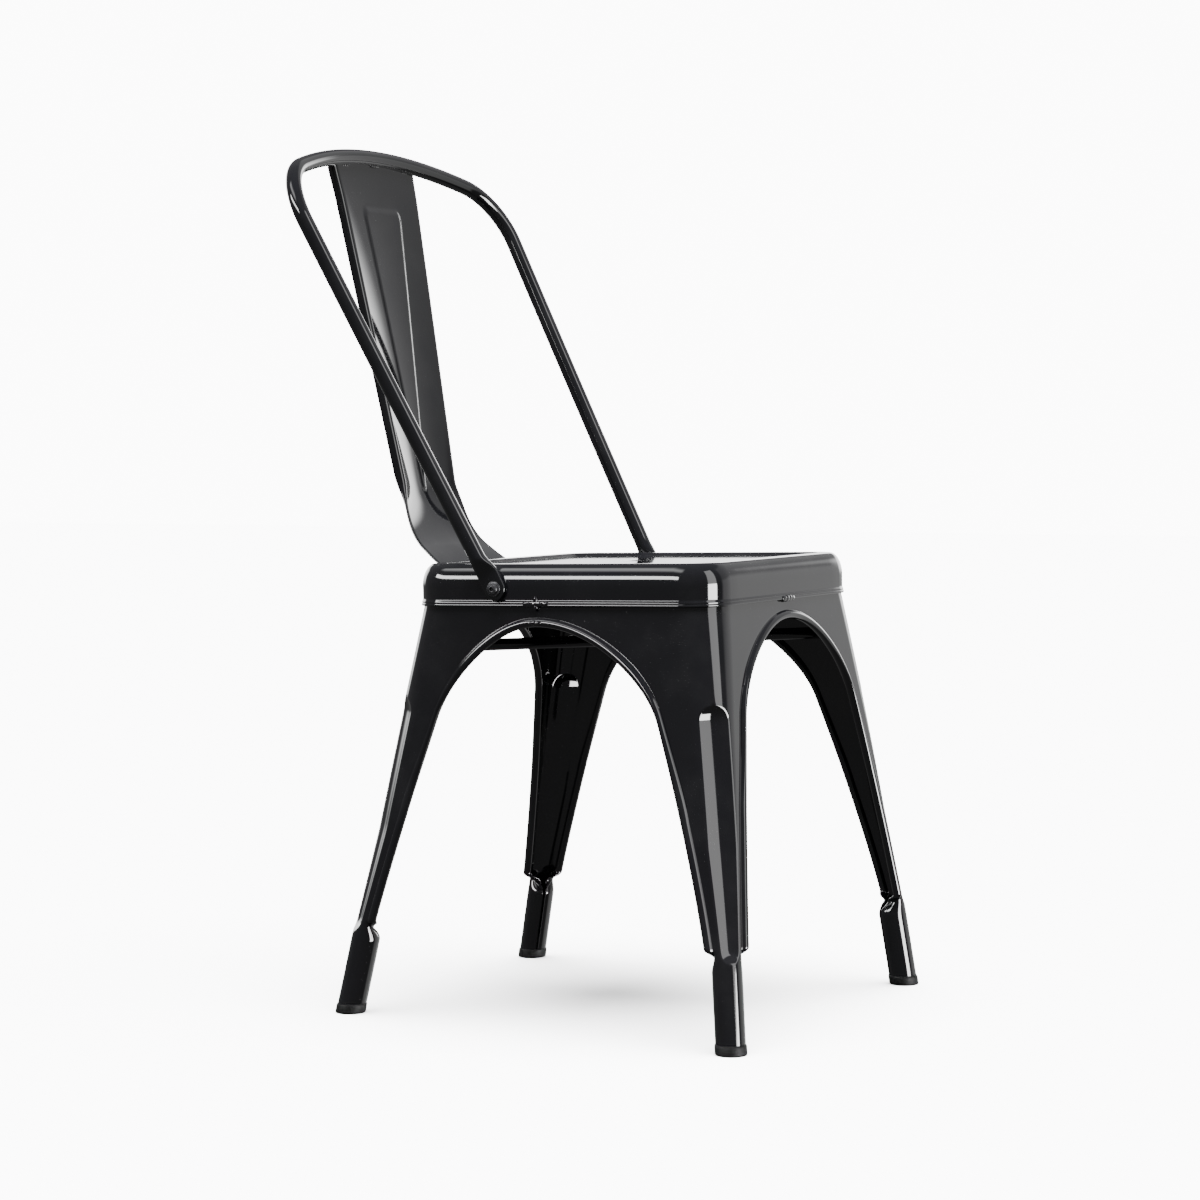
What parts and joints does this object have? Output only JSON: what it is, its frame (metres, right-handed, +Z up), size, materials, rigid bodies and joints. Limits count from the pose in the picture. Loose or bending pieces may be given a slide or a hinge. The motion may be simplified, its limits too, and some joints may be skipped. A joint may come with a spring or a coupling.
{
  "type": "stacking chair",
  "caption": "Pressed-steel stacking chair: square seat pan, splayed pressed legs with arches, bolted tube hoop back with a central splat, crossed brace rods and rubber feet.",
  "frame": {"origin": "on the floor, under the middle of the chair's overall box", "axes": "+Z up; the sitter faces -Y, so the hoop and splat are towards +Y; the sitter's right is -X"},
  "size_m": [0.4554, 0.5402, 0.8749],
  "materials": {
    "black_paint": "gloss near-black powder coat with sharp highlights",
    "rubber_cap": "matt dark grey moulded rubber",
    "rubber_pad": "matt very dark brown-black rubber",
    "black_fastener": "satin black coated steel",
    "nut_steel": "plain zinc-plated steel"
  },
  "bodies": {
    "root": {"seat_pan": "black_paint", "leg_front_left": "black_paint", "leg_front_right": "black_paint", "leg_rear_left": "black_paint", "leg_rear_right": "black_paint", "foot_cap_front_left": "rubber_cap", "foot_cap_front_right": "rubber_cap", "foot_cap_rear_left": "rubber_cap", "foot_cap_rear_right": "rubber_cap", "back_hoop": "black_paint", "back_splat": "black_paint", "brace_lower": "black_paint", "brace_upper": "black_paint", "brace_pad_front_left": "rubber_pad", "brace_pad_front_right": "rubber_pad", "brace_pad_rear_left": "rubber_pad", "brace_pad_rear_right": "rubber_pad", "hoop_bolt_left": "black_fastener", "hoop_bolt_right": "black_fastener", "hoop_washer_left": "black_fastener", "hoop_washer_right": "black_fastener", "hoop_nut_left": "nut_steel", "hoop_nut_right": "nut_steel"}
  },
  "joints": []
}
